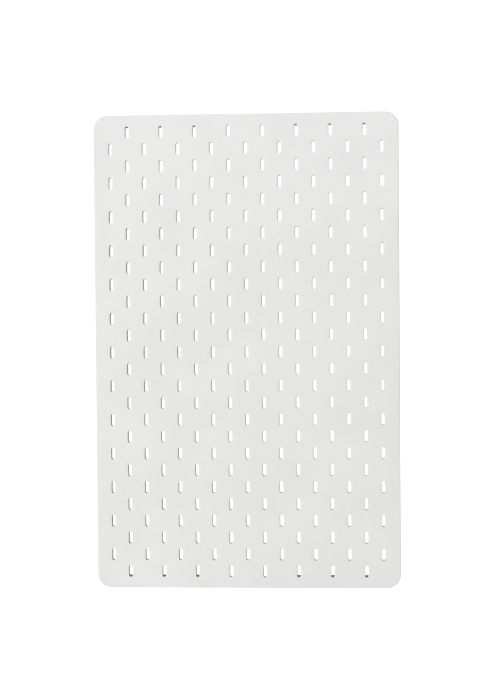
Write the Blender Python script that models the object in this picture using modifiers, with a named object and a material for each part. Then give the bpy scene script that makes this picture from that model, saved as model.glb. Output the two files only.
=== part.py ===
"""Slotted wall panel hung on two wall cleats.

Metres, Z up. X runs to the right seen from the front and Y runs from the viewer to the wall.
The wall's surface is the plane Y = 0, and the origin lies on it behind the middle of the board.

The board carries a rigid bar behind each corner. Each bar's three prongs sit in the outer ends of
three slots. The upper bars have hooks that drop into channels on cleats screwed to the wall, and
the lower bars have padded posts that stand against the wall. Lifting the board frees the hooks.
"""

import math

import bmesh
import bpy
from mathutils import Matrix, Vector

MM = 0.001
GAP = 0.3 * MM
SINK = 1 * MM
WELD = 0.001 * MM
QUARTER = math.pi / 2

# Board
BOARD_WIDTH = 360 * MM
BOARD_HEIGHT = 560 * MM
BOARD_THICKNESS = 5 * MM
BOARD_CORNER_RADIUS = 16.5 * MM
BOARD_CORNER_STEPS = 8
STAND_OFF = 15 * MM
BOARD_BACK = -STAND_OFF
BOARD_FRONT = BOARD_BACK - BOARD_THICKNESS

# Slots
SLOT_WIDTH = 5 * MM
SLOT_LENGTH = 15 * MM
SLOT_END_STEPS = 4
ROW_PITCH = 20 * MM
COLUMN_PITCH = 40 * MM
ROW_COUNT = 27
WIDE_ROW_SLOTS = 9
NARROW_ROW_SLOTS = 8
END_ROW_Z = ROW_PITCH * (ROW_COUNT - 1) / 2

# Bars behind the corners; heights are distances from the middle of the board
BAR_CENTRE_X = 100 * MM
BAR_LENGTH = 100 * MM
BAR_FRONT = BOARD_BACK + GAP
BAR_BACK = BAR_FRONT + 5.7 * MM
BAR_INNER_Z = 266 * MM
BAR_INNER_BACK_Z = 268.5 * MM
BAR_OUTER_Z = 278 * MM
BAR_EDGE = 0.8 * MM
PRONG_RADIUS = 2 * MM
PRONG_REACH = 3.5 * MM
PRONG_FLAT_Z = 265.6 * MM
PRONG_STEPS = 8

# Hooks on the upper bars
HOOK_OFFSET = 30 * MM
HOOK_WIDTH = 10 * MM
HOOK_FRONT = -5.7 * MM
HOOK_BACK = -2.8 * MM
HOOK_FOOT_Z = 259 * MM
HOOK_WEB_Z = 273.5 * MM
HOOK_TOP_Z = 276.5 * MM
SMALL_EDGE = 0.5 * MM

# Posts and pads on the lower bars
POST_OFFSET = 20 * MM
POST_WIDTH = 12 * MM
POST_HEIGHT = 8.5 * MM
PAD_RADIUS = 4 * MM
PAD_THICKNESS = 1.6 * MM
POST_Z = -273.25 * MM
POST_END = -PAD_THICKNESS - GAP

# Wall cleats
CLEAT_LENGTH = 72 * MM
CLEAT_PLATE = 2.5 * MM
CLEAT_LOW_Z = 262 * MM
CLEAT_HIGH_Z = 280 * MM
CLEAT_CORNER = 2 * MM
CLEAT_EDGE = 0.4 * MM
NOTCH_WIDTH = 12 * MM
NOTCH_TOP_Z = 271 * MM
CHANNEL_WIDTH = 12 * MM
CHANNEL_LOW_Z = 254 * MM
CHANNEL_FLOOR_Z = 257 * MM
LIP_FRONT = -8.6 * MM
LIP_BACK = -6 * MM
LIP_TOP_Z = 273.2 * MM

# Screws and plugs
SCREW_OFFSET = 14 * MM
SCREW_Z = 271 * MM
SCREW_HOLE_RADIUS = 2.25 * MM
SCREW_SEAT = -CLEAT_PLATE - GAP
HEAD_RADIUS = 3.8 * MM
HEAD_HEIGHT = 2.6 * MM
HEAD_CROWN = SCREW_SEAT - HEAD_HEIGHT
SHANK_RADIUS = 1.9 * MM
SHANK_END = 27 * MM
TIP_END = 30 * MM
RECESS_SPAN = 4.4 * MM
RECESS_WIDTH = 0.9 * MM
RECESS_DEPTH = 1.4 * MM
ROUND_STEPS = 20
PLUG_BORE = 2.25 * MM
PLUG_RADIUS = 3 * MM
PLUG_END = 28 * MM
PLUG_COLLAR_RADIUS = 3.6 * MM
PLUG_COLLAR_END = 1.2 * MM

PAINT = (0.80, 0.80, 0.79, 1)
BAR_GREY = (0.20, 0.20, 0.20, 1)
CLEAT_GREY = (0.33, 0.34, 0.35, 1)
STEEL = (0.52, 0.52, 0.53, 1)
NYLON = (0.62, 0.61, 0.57, 1)
FELT = (0.10, 0.10, 0.10, 1)


def clear_scene():
    for obj in list(bpy.data.objects):
        bpy.data.objects.remove(obj, do_unlink=True)


def new_collection(name, hidden=False):
    made = bpy.data.collections.new(name)
    bpy.context.scene.collection.children.link(made)
    made.hide_render = hidden
    return made


def new_material(name, colour, roughness, metallic=0.0):
    made = bpy.data.materials.new(name)
    made.use_nodes = True
    shader = made.node_tree.nodes["Principled BSDF"]
    shader.inputs["Base Color"].default_value = colour
    shader.inputs["Roughness"].default_value = roughness
    shader.inputs["Metallic"].default_value = metallic
    return made


def add_part(obj, group, look):
    """Puts a finished piece in the parts' collection, on the empty of the body it moves with."""
    group.users_collection[0].objects.link(obj)
    obj.data.materials.append(look)
    obj.parent = group
    return obj


def bevel(obj, width, steps=1):
    modifier = obj.modifiers.new("Edge", "BEVEL")
    modifier.width = width
    modifier.segments = steps
    modifier.limit_method = "ANGLE"
    modifier.angle_limit = math.radians(30)


def combine(obj, other, operation):
    """Adds `other` to `obj`, or cuts it away, and leaves it as a hidden helper."""
    bpy.data.collections["cutters"].objects.link(other)
    other.hide_render = True
    other.display_type = "WIRE"
    modifier = obj.modifiers.new(other.name, "BOOLEAN")
    modifier.object = other
    modifier.operation = operation
    modifier.solver = "EXACT"


def arc(centre, radius, start, end, steps):
    """Points on a circle from one angle to another, both ends included."""
    angles = [start + (end - start) * i / steps for i in range(steps + 1)]
    return [(centre[0] + radius * math.cos(a), centre[1] + radius * math.sin(a)) for a in angles]


def rounded_rectangle(width, height, radius, steps):
    points = []
    for corner, (sx, sy) in enumerate(((1, 1), (-1, 1), (-1, -1), (1, -1))):
        centre = (sx * (width / 2 - radius), sy * (height / 2 - radius))
        points += arc(centre, radius, corner * QUARTER, (corner + 1) * QUARTER, steps)
    return points


def flat_curve(name, outlines, low, high, along):
    """A filled flat outline, with holes, extruded from `low` to `high` along X or Y."""
    curve = bpy.data.curves.new(name, "CURVE")
    curve.dimensions = "2D"
    curve.fill_mode = "BOTH"
    curve.extrude = (high - low) / 2
    for outline in outlines:
        spline = curve.splines.new("POLY")
        spline.points.add(len(outline) - 1)
        for point, (u, v) in zip(spline.points, outline):
            point.co = (u, v, 0, 1)
        spline.use_cyclic_u = True
    obj = bpy.data.objects.new(name, curve)
    middle = (low + high) / 2
    if along == "X":
        obj.rotation_euler = (QUARTER, 0, QUARTER)
        obj.location = (middle, 0, 0)
    else:
        obj.rotation_euler = (QUARTER, 0, 0)
        obj.location = (0, middle, 0)
    return obj


def flat_mesh(name, outline, low, high, along):
    """The same as a welded mesh, which can be bevelled, joined and cut."""
    curve = flat_curve(f"{name}_outline", [outline], low, high, along)
    bpy.context.scene.collection.objects.link(curve)
    bpy.context.view_layer.update()
    graph = bpy.context.evaluated_depsgraph_get()
    mesh = bpy.data.meshes.new_from_object(curve.evaluated_get(graph))
    mesh.name = name
    bm = bmesh.new()
    bm.from_mesh(mesh)
    bmesh.ops.remove_doubles(bm, verts=bm.verts, dist=WELD)
    bmesh.ops.dissolve_limit(bm, angle_limit=math.radians(1), verts=bm.verts, edges=bm.edges)
    bm.to_mesh(mesh)
    bm.free()
    obj = bpy.data.objects.new(name, mesh)
    obj.matrix_world = curve.matrix_world.copy()
    bpy.data.objects.remove(curve)
    return obj


def box(name, low, high):
    size = [b - a for a, b in zip(low, high)]
    bm = bmesh.new()
    bmesh.ops.create_cube(bm, size=1, matrix=Matrix.Diagonal((*size, 1)))
    mesh = bpy.data.meshes.new(name)
    bm.to_mesh(mesh)
    bm.free()
    obj = bpy.data.objects.new(name, mesh)
    obj.location = [(a + b) / 2 for a, b in zip(low, high)]
    return obj


def cylinder(name, x, z, radius, low, high, steps):
    """A cylinder along Y from `low` to `high`."""
    bm = bmesh.new()
    bmesh.ops.create_cone(
        bm,
        cap_ends=True,
        segments=steps,
        radius1=radius,
        radius2=radius,
        depth=high - low,
        matrix=Matrix.Rotation(QUARTER, 4, "X"),
    )
    mesh = bpy.data.meshes.new(name)
    bm.to_mesh(mesh)
    bm.free()
    mesh.shade_smooth()
    mesh.set_sharp_from_angle(angle=math.radians(40))
    obj = bpy.data.objects.new(name, mesh)
    obj.location = (x, (low + high) / 2, z)
    return obj


def turned(name, profile, x, z, hollow=False):
    """A solid turned about the line along Y through (x, z). The profile is pairs of radius and Y."""
    mesh = bpy.data.meshes.new(name)
    points = [(radius, 0, -y) for radius, y in profile]
    edges = [(i, i + 1) for i in range(len(points) - 1)]
    mesh.from_pydata(points, edges, [])
    obj = bpy.data.objects.new(name, mesh)
    obj.rotation_euler = (QUARTER, 0, 0)
    obj.location = (x, 0, z)
    screw = obj.modifiers.new("Turn", "SCREW")
    screw.axis = "Z"
    screw.angle = 2 * math.pi
    screw.steps = ROUND_STEPS
    screw.render_steps = ROUND_STEPS
    screw.use_merge_vertices = True
    screw.merge_threshold = WELD
    screw.use_normal_calculate = True
    screw.use_normal_flip = hollow
    screw.use_smooth_shade = True
    return obj


def slot_centres():
    """Every slot's centre. Rows of eight and rows of nine take turns, so the slots are staggered."""
    for row in range(ROW_COUNT):
        count = WIDE_ROW_SLOTS if row % 2 else NARROW_ROW_SLOTS
        for column in range(count):
            x = (column - (count - 1) / 2) * COLUMN_PITCH
            yield x, END_ROW_Z - row * ROW_PITCH


def slot_outline(x, z):
    radius = SLOT_WIDTH / 2
    straight = SLOT_LENGTH / 2 - radius
    upper = arc((x, z + straight), radius, 0, math.pi, SLOT_END_STEPS)
    lower = arc((x, z - straight), radius, math.pi, 2 * math.pi, SLOT_END_STEPS)
    return upper + lower


def make_board(group, look):
    """The sheet: one filled flat outline with every slot as a hole in it."""
    edge = rounded_rectangle(BOARD_WIDTH, BOARD_HEIGHT, BOARD_CORNER_RADIUS, BOARD_CORNER_STEPS)
    outlines = [edge] + [slot_outline(x, z) for x, z in slot_centres()]
    add_part(flat_curve("panel", outlines, BOARD_FRONT, BOARD_BACK, "Y"), group, look)


def make_prong(name, x, end):
    """A half-round prong for the outer end of one slot; `end` is 1 at the top and -1 at the bottom."""
    centre = (x, end * (END_ROW_Z + SLOT_LENGTH / 2 - SLOT_WIDTH / 2))
    rise = math.asin((PRONG_FLAT_Z - abs(centre[1])) / PRONG_RADIUS)
    start = rise if end > 0 else math.pi + rise
    outline = arc(centre, PRONG_RADIUS, start, start + math.pi - 2 * rise, PRONG_STEPS)
    return flat_mesh(name, outline, BOARD_BACK - PRONG_REACH, BAR_FRONT + SINK, "Y")


def make_bar(name, side, end, group, look):
    """What all four bars share: a rail, sloped on its inner side, and three prongs."""
    centre = side * BAR_CENTRE_X
    profile = [
        (BAR_FRONT, end * BAR_INNER_Z),
        (BAR_BACK, end * BAR_INNER_BACK_Z),
        (BAR_BACK, end * BAR_OUTER_Z),
        (BAR_FRONT, end * BAR_OUTER_Z),
    ]
    bar = flat_mesh(name, profile, centre - BAR_LENGTH / 2, centre + BAR_LENGTH / 2, "X")
    bevel(bar, BAR_EDGE, 2)
    for step in (-1, 0, 1):
        x = centre + step * COLUMN_PITCH
        combine(bar, make_prong(f"{name}_prong_{step + 2}", x, end), "UNION")
    return add_part(bar, group, look)


def make_hanger_bar(side, word, group, look):
    """An upper bar with two hooks that point down between their channel's lip and the wall."""
    bar = make_bar(f"hanger_bar_{word}", side, 1, group, look)
    profile = [
        (BAR_BACK - SINK, HOOK_WEB_Z),
        (HOOK_FRONT, HOOK_WEB_Z),
        (HOOK_FRONT, HOOK_FOOT_Z),
        (HOOK_BACK, HOOK_FOOT_Z),
        (HOOK_BACK, HOOK_TOP_Z),
        (BAR_BACK - SINK, HOOK_TOP_Z),
    ]
    for step in (-1, 1):
        x = side * BAR_CENTRE_X + step * HOOK_OFFSET
        low, high = x - HOOK_WIDTH / 2, x + HOOK_WIDTH / 2
        hook = flat_mesh(f"{bar.name}_hook_{step + 2}", profile, low, high, "X")
        bevel(hook, SMALL_EDGE)
        combine(bar, hook, "UNION")


def make_spacer_bar(side, word, group, look):
    """A lower bar with two posts that reach back to the wall pads."""
    bar = make_bar(f"spacer_bar_{word}", side, -1, group, look)
    for step in (-1, 1):
        x = side * BAR_CENTRE_X + step * POST_OFFSET
        low = (x - POST_WIDTH / 2, BAR_BACK - SINK, POST_Z - POST_HEIGHT / 2)
        high = (x + POST_WIDTH / 2, POST_END, POST_Z + POST_HEIGHT / 2)
        post = box(f"{bar.name}_post_{step + 2}", low, high)
        bevel(post, SMALL_EDGE)
        combine(bar, post, "UNION")


def make_cleat(side, word, group, look):
    """A wall plate with two channels that open upwards, one for each hook, and two screw holes."""
    name = f"wall_cleat_{word}"
    centre = side * BAR_CENTRE_X
    left, right = centre - CLEAT_LENGTH / 2, centre + CLEAT_LENGTH / 2
    notch_left, notch_right = centre - NOTCH_WIDTH / 2, centre + NOTCH_WIDTH / 2
    outline = [
        (left, CLEAT_LOW_Z),
        (notch_left, CLEAT_LOW_Z),
        (notch_left, NOTCH_TOP_Z),
        (notch_right, NOTCH_TOP_Z),
        (notch_right, CLEAT_LOW_Z),
        (right, CLEAT_LOW_Z),
        (right, CLEAT_HIGH_Z - CLEAT_CORNER),
        (right - CLEAT_CORNER, CLEAT_HIGH_Z),
        (left + CLEAT_CORNER, CLEAT_HIGH_Z),
        (left, CLEAT_HIGH_Z - CLEAT_CORNER),
    ]
    cleat = flat_mesh(name, outline, -CLEAT_PLATE, 0, "Y")
    bevel(cleat, CLEAT_EDGE)
    profile = [
        (0, CHANNEL_LOW_Z),
        (0, CLEAT_LOW_Z + SINK),
        (-CLEAT_PLATE, CLEAT_LOW_Z + SINK),
        (-CLEAT_PLATE, CHANNEL_FLOOR_Z),
        (LIP_BACK, CHANNEL_FLOOR_Z),
        (LIP_BACK, LIP_TOP_Z),
        (LIP_FRONT, LIP_TOP_Z),
        (LIP_FRONT, CHANNEL_LOW_Z),
    ]
    for step in (-1, 1):
        x = centre + step * HOOK_OFFSET
        low, high = x - CHANNEL_WIDTH / 2, x + CHANNEL_WIDTH / 2
        combine(cleat, flat_mesh(f"{name}_channel_{step + 2}", profile, low, high, "X"), "UNION")
    for step in (-1, 1):
        x = centre + step * SCREW_OFFSET
        low, high = -CLEAT_PLATE - SINK, SINK
        hole = cylinder(
            f"{name}_hole_{step + 2}", x, SCREW_Z, SCREW_HOLE_RADIUS, low, high, ROUND_STEPS
        )
        combine(cleat, hole, "DIFFERENCE")
    add_part(cleat, group, look)


def make_screw(name, x, group, look):
    """A pan-head wood screw with a crossed recess."""
    profile = [
        (0, HEAD_CROWN),
        (0.45 * HEAD_RADIUS, HEAD_CROWN + 0.12 * HEAD_HEIGHT),
        (0.80 * HEAD_RADIUS, HEAD_CROWN + 0.42 * HEAD_HEIGHT),
        (HEAD_RADIUS, HEAD_CROWN + 0.85 * HEAD_HEIGHT),
        (HEAD_RADIUS, SCREW_SEAT),
        (SHANK_RADIUS, SCREW_SEAT),
        (SHANK_RADIUS, SHANK_END),
        (0, TIP_END),
    ]
    screw = turned(name, profile, x, SCREW_Z)
    low_y, high_y = HEAD_CROWN - SINK, HEAD_CROWN + RECESS_DEPTH
    for index, (span_x, span_z) in enumerate(
        ((RECESS_SPAN, RECESS_WIDTH), (RECESS_WIDTH, RECESS_SPAN))
    ):
        low = (x - span_x / 2, low_y, SCREW_Z - span_z / 2)
        high = (x + span_x / 2, high_y, SCREW_Z + span_z / 2)
        combine(screw, box(f"{name}_recess_{index + 1}", low, high), "DIFFERENCE")
    add_part(screw, group, look)


def make_plug(name, x, group, look):
    """A hollow wall plug with a thin collar at the wall's surface."""
    profile = [
        (PLUG_BORE, GAP),
        (PLUG_BORE, PLUG_END),
        (PLUG_RADIUS, PLUG_END),
        (PLUG_RADIUS, PLUG_COLLAR_END),
        (PLUG_COLLAR_RADIUS, PLUG_COLLAR_END),
        (PLUG_COLLAR_RADIUS, GAP),
        (PLUG_BORE, GAP),
    ]
    add_part(turned(name, profile, x, SCREW_Z, hollow=True), group, look)


def new_group(name, collection, location):
    """An empty that carries everything on one rigid body."""
    group = bpy.data.objects.new(name, None)
    collection.objects.link(group)
    group.location = location
    return group


def keep_places(group):
    """Cancels the empty's own offset, so that each child stays where it was modelled."""
    for child in group.children:
        child.matrix_parent_inverse = Matrix.Translation(-Vector(group.location))


def main():
    clear_scene()
    parts = new_collection("slotted_wall_panel")
    new_collection("cutters", hidden=True)
    paint = new_material("board_paint", PAINT, 0.45)
    bar_moulding = new_material("bar_moulding", BAR_GREY, 0.5)
    cleat_moulding = new_material("cleat_moulding", CLEAT_GREY, 0.5)
    steel = new_material("screw_steel", STEEL, 0.3, 1.0)
    nylon = new_material("plug_nylon", NYLON, 0.55)
    felt = new_material("pad_felt", FELT, 0.9)
    wall_fixings = new_group("wall_fixings", parts, (0, 0, 0))
    hung_panel = new_group("hung_panel", parts, (0, HOOK_BACK, LIP_TOP_Z))
    make_board(hung_panel, paint)
    for side, word in ((-1, "left"), (1, "right")):
        make_hanger_bar(side, word, hung_panel, bar_moulding)
        make_spacer_bar(side, word, hung_panel, bar_moulding)
        make_cleat(side, word, wall_fixings, cleat_moulding)
        for step, spot in ((-1, "inner"), (1, "outer")):
            screw_x = side * (BAR_CENTRE_X + step * SCREW_OFFSET)
            make_screw(f"cleat_screw_{word}_{spot}", screw_x, wall_fixings, steel)
            make_plug(f"wall_plug_{word}_{spot}", screw_x, wall_fixings, nylon)
            pad_x = side * (BAR_CENTRE_X + step * POST_OFFSET)
            pad = cylinder(
                f"wall_pad_{word}_{spot}", pad_x, POST_Z, PAD_RADIUS, -PAD_THICKNESS, 0, ROUND_STEPS
            )
            add_part(pad, hung_panel, felt)
    for group in (wall_fixings, hung_panel):
        keep_places(group)


main()
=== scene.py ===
"""Looks of a slotted wall panel that hangs on two wall cleats.

Metres, Z up. X runs to the right seen from the front, Y runs from the viewer to the wall, and the
wall's surface is the plane Y = 0. Every shape is a surface worked out with numpy: a loop or profile
carried from level to level, or a radius that is a function of angle and depth.
"""

from __future__ import annotations

import logging
import math
from collections.abc import Callable, Sequence
from dataclasses import dataclass, field
from enum import Enum

import bmesh
import bpy
import numpy as np
from mathutils import Matrix, Vector

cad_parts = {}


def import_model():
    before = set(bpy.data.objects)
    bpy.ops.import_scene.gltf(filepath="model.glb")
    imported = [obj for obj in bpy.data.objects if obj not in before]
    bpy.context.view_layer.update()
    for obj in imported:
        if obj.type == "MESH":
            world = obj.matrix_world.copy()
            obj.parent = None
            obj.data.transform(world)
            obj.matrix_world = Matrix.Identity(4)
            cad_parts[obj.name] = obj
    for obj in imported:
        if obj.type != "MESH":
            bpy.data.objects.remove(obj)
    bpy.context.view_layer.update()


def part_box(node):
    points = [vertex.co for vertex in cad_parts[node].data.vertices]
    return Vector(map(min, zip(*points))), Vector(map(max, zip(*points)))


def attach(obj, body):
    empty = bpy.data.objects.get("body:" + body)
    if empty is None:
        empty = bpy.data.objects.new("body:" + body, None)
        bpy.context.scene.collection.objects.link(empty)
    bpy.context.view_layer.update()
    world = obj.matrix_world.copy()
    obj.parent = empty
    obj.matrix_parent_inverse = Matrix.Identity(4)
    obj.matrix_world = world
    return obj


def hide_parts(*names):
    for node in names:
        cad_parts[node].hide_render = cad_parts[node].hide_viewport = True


Array = np.ndarray
Colour = tuple[float, float, float]
Point = tuple[float, float, float]
Mesh = bpy.types.Mesh
Node = bpy.types.Node
Socket = bpy.types.NodeSocket
LOG = logging.getLogger("slotted_panel")

MM = 0.001
WELD = 1e-7
TURN = 2 * math.pi
QUARTER = math.pi / 2
VIEW_HEIGHT = 685
QUADRANTS = ((1, 1), (-1, 1), (-1, -1), (1, -1))


class Axis(Enum):
    """The axis a flat outline is carried along, and the two axes it lies in."""

    X = (0, 1, 2)
    Y = (1, 0, 2)
    Z = (2, 0, 1)


class Place(Enum):
    """A choice of place, with the word that the frame's nodes use for it and its sign."""

    @property
    def word(self) -> str:
        """The place's name as the frame's nodes spell it."""
        return self.value[0]

    @property
    def sign(self) -> float:
        """The place's sign along X."""
        return self.value[1]


class Side(Place):
    """Left and right half of the panel, with the sign of X there."""

    LEFT = ("left", -1.0)
    RIGHT = ("right", 1.0)


class Spot(Place):
    """Nearer to or farther from the middle of the panel."""

    INNER = ("inner", -1.0)
    OUTER = ("outer", 1.0)


# ---------------------------------------------------------------------------------------------
# Outlines and surfaces
# ---------------------------------------------------------------------------------------------


def arc(centre: Sequence[float], radius: float, start: float, end: float, steps: int) -> Array:
    """Points on a circle from one angle to another.

    Args:
        centre: The circle's centre.
        radius: The circle's radius.
        start: The first point's angle in radians.
        end: The last point's angle in radians.
        steps: Number of chords.

    Returns:
        An array of steps + 1 points.
    """
    angles = np.linspace(start, end, steps + 1)
    return np.asarray(centre) + radius * np.stack([np.cos(angles), np.sin(angles)], axis=1)


def circle(centre: Sequence[float], radius: float, steps: int) -> Array:
    """A closed ring of points, without repeating the first."""
    return arc(centre, radius, 0, TURN, steps)[:-1]


def filleted(corners: Sequence[Sequence[float]], radius: float, steps: int = 4) -> Array:
    """A closed outline with every corner rounded.

    At a corner with inside angle a the arc's centre lies on the bisector, radius / sin(a / 2) from
    the corner, and the arc touches both sides radius / tan(a / 2) away from it.

    Args:
        corners: The sharp corners in order.
        radius: Radius of each rounding.
        steps: Chords of each rounding.

    Returns:
        The rounded outline, in counter-clockwise order.
    """
    points = np.asarray(corners, float)
    turned = np.roll(points, -1, axis=0)
    if np.sum(points[:, 0] * turned[:, 1] - turned[:, 0] * points[:, 1]) < 0:
        points = points[::-1]
    rounded = []
    for before, corner, after in zip(np.roll(points, 1, 0), points, np.roll(points, -1, 0)):
        back = (before - corner) / np.linalg.norm(before - corner)
        ahead = (after - corner) / np.linalg.norm(after - corner)
        half = math.acos(float(np.clip(back @ ahead, -1, 1))) / 2
        bisector = (back + ahead) / np.linalg.norm(back + ahead)
        centre = corner + bisector * radius / math.sin(half)
        first = corner + back * radius / math.tan(half) - centre
        last = corner + ahead * radius / math.tan(half) - centre
        start = math.atan2(first[1], first[0])
        sweep = (math.atan2(last[1], last[0]) - start + math.pi) % TURN - math.pi
        rounded.append(arc(centre, radius, start, start + sweep, steps))
    return np.concatenate(rounded)


def rectangle(low: Sequence[float], high: Sequence[float], radius: float, steps: int = 4) -> Array:
    """A rounded rectangle between two corners."""
    corners = ((low[0], low[1]), (high[0], low[1]), (high[0], high[1]), (low[0], high[1]))
    return filleted(corners, radius, steps)


def offset(outline: Array, distance: float) -> Array:
    """The outline moved outwards, each point along its mitre.

    The mitre is the sum of the two edges' outward normals over one plus their dot product, so both
    edges move by the same distance.

    Args:
        outline: Counter-clockwise points.
        distance: How far outwards; negative moves inwards.

    Returns:
        The moved points.
    """
    ahead = np.roll(outline, -1, axis=0) - outline
    ahead /= np.linalg.norm(ahead, axis=1, keepdims=True)
    normal = np.stack([ahead[:, 1], -ahead[:, 0]], axis=1)
    before = np.roll(normal, 1, axis=0)
    mitre = (normal + before) / (1 + np.sum(normal * before, axis=1, keepdims=True))
    return outline + distance * mitre


def raised(outline: Array, level: float, axis: Axis) -> Array:
    """Points of a flat outline placed in space.

    Args:
        outline: Points in the two axes across `axis`.
        level: Place along `axis`.
        axis: The axis the outline faces.

    Returns:
        The points as X, Y, Z.
    """
    along, first, second = axis.value
    placed = np.empty((len(outline), 3))
    placed[:, along] = level
    placed[:, first] = outline[:, 0]
    placed[:, second] = outline[:, 1]
    return placed


def quarter_round(radius: float, steps: int) -> tuple[Array, Array, Array]:
    """A rounded rim from the face to the wall.

    At angle a the rim is inset by radius (1 - sin a) and lies radius (1 - cos a) below the face.

    Args:
        radius: The rim's radius.
        steps: Chords of the quarter circle.

    Returns:
        The angles, the insets and the depths.
    """
    angles = np.linspace(0, QUARTER, steps + 1)
    return angles, radius * (1 - np.sin(angles)), radius * (1 - np.cos(angles))


def ring_quads(rows: int, around: int, loop: bool = False) -> Array:
    """Corners of the quads between closed rings that are numbered one after the other.

    Quad (i, j) joins points j and j + 1 of ring i to the same two points of ring i + 1.

    Args:
        rows: Number of rings.
        around: Points in a ring.
        loop: Whether the last ring joins the first.

    Returns:
        An array of quads by 4 point numbers.
    """
    row = np.arange(rows if loop else rows - 1)[:, None]
    column = np.arange(around)[None, :]
    here = row * around
    above = (row + 1) % rows * around
    beside = (column + 1) % around
    quads = np.stack([here + column, here + beside, above + beside, above + column], axis=-1)
    return quads.reshape(-1, 4)


def smoothstep(value: Array, low: float, high: float) -> Array:
    """Rises from 0 at `low` to 1 at `high` with level ends: 3 t t - 2 t t t."""
    t = np.clip((value - low) / (high - low), 0, 1)
    return t * t * (3 - 2 * t)


@dataclass
class Draft:
    """Points, faces and two marks per point of a mesh in the making.

    The `rub` mark is 1 on a rounded edge that hands touch, and `core` is 1 on a raw cut wall.
    """

    points: list[Array] = field(default_factory=list)
    rubs: list[Array] = field(default_factory=list)
    cores: list[Array] = field(default_factory=list)
    faces: list[list[int]] = field(default_factory=list)
    count: int = 0

    def add_points(self, points: Array, rub: float | Array = 0.0, core: float | Array = 0.0) -> int:
        """Adds points.

        Args:
            points: Array whose last axis is X, Y, Z.
            rub: Rub mark, for all points or in a shape that spreads over them.
            core: Core mark, in the same way.

        Returns:
            The first new point's number.
        """
        start = self.count
        flat = points.reshape(-1, 3)
        self.points.append(flat)
        self.rubs.append(np.broadcast_to(rub, points.shape[:-1]).reshape(-1))
        self.cores.append(np.broadcast_to(core, points.shape[:-1]).reshape(-1))
        self.count += len(flat)
        return start

    def add_rings(
        self, rings: Array, rub: float | Array = 0.0, caps: bool = True, loop: bool = False
    ) -> None:
        """Joins closed rings into a tube of quads.

        Args:
            rings: Array of rows by points by 3; every row is a closed ring.
            rub: Rub mark, for all points or for each row and point.
            caps: Whether the first and last ring are closed with one face each.
            loop: Whether the last ring joins the first.
        """
        rows, around = rings.shape[:2]
        start = self.add_points(rings, rub)
        self.faces += (ring_quads(rows, around, loop) + start).tolist()
        if caps:
            last = start + (rows - 1) * around
            self.faces.append(list(range(start + around - 1, start - 1, -1)))
            self.faces.append(list(range(last, last + around)))

    def add_faces(self, polygons: Array) -> None:
        """Adds separate flat faces.

        Args:
            polygons: Array of faces by corners by 3.
        """
        start = self.add_points(polygons)
        corners = np.arange(polygons.shape[0] * polygons.shape[1]).reshape(polygons.shape[:2])
        self.faces += (corners + start).tolist()

    def mesh(self, name: str) -> Mesh:
        """Welds the points and writes the mesh, with its faces pointing outwards.

        Args:
            name: The mesh's name.

        Returns:
            The finished mesh, with its marks as point attributes.
        """
        points = np.concatenate(self.points)
        keys = np.round(points / WELD).astype(np.int64)
        _, first, index = np.unique(keys, axis=0, return_index=True, return_inverse=True)
        index = index.reshape(-1)
        faces = []
        for face in self.faces:
            welded = index[face]
            kept = welded[welded != np.roll(welded, 1)]
            if len(set(kept.tolist())) > 2:
                faces.append(kept.tolist())
        mesh = bpy.data.meshes.new(name)
        mesh.from_pydata(points[first].tolist(), [], faces)
        for mark, values in (("rub", self.rubs), ("core", self.cores)):
            attribute = mesh.attributes.new(mark, "FLOAT", "POINT")
            attribute.data.foreach_set("value", np.concatenate(values)[first].astype(np.float32))
        bm = bmesh.new()
        bm.from_mesh(mesh)
        bmesh.ops.recalc_face_normals(bm, faces=bm.faces)
        bm.to_mesh(mesh)
        bm.free()
        return mesh


def prism(outline: Array, low: float, high: float, edge: float, axis: Axis, steps: int = 3) -> Draft:
    """A flat outline carried from one level to another, with each rim a quarter circle.

    The edge stays smaller than the outline's own roundings, so that no inset ring crosses itself.

    Args:
        outline: Counter-clockwise outline.
        low: First level.
        high: Last level.
        edge: Radius of the rims.
        axis: The axis along which the outline is carried.
        steps: Chords of each quarter circle.

    Returns:
        The closed solid.
    """
    angles, inset, depth = quarter_round(edge, steps)
    insets = np.concatenate([inset, inset[::-1]])
    levels = np.concatenate([low + depth, (high - depth)[::-1]])
    rings = [raised(offset(outline, -i), level, axis) for i, level in zip(insets, levels)]
    rub = np.sin(2 * angles)
    draft = Draft()
    draft.add_rings(np.stack(rings), np.concatenate([rub, rub[::-1]])[:, None])
    return draft


def revolved(
    radius: Array,
    depth: Array,
    spot: Sequence[float],
    around: int,
    swell: Callable[[Array, Array], Array],
    loop: bool = False,
) -> Draft:
    """A profile turned about a line along Y, with a change of radius.

    The point at angle a and profile place v is (x + r cos a, y(v), z + r sin a), where r is the
    profile's radius plus swell(a, y).

    Args:
        radius: The profile's radii.
        depth: The profile's Y values.
        spot: X and Z of the line.
        around: Points in a turn.
        swell: What is added to the radius, from angle and Y.
        loop: Whether the profile closes on itself, as a tube's does.

    Returns:
        The closed solid.
    """
    angles = np.linspace(0, TURN, around, endpoint=False)[None, :]
    radii = radius[:, None] + swell(angles, depth[:, None])
    levels = np.broadcast_to(depth[:, None], radii.shape)
    rings = np.stack(
        [spot[0] + radii * np.cos(angles), levels, spot[1] + radii * np.sin(angles)], axis=-1
    )
    draft = Draft()
    draft.add_rings(rings, caps=not loop, loop=loop)
    return draft


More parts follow.
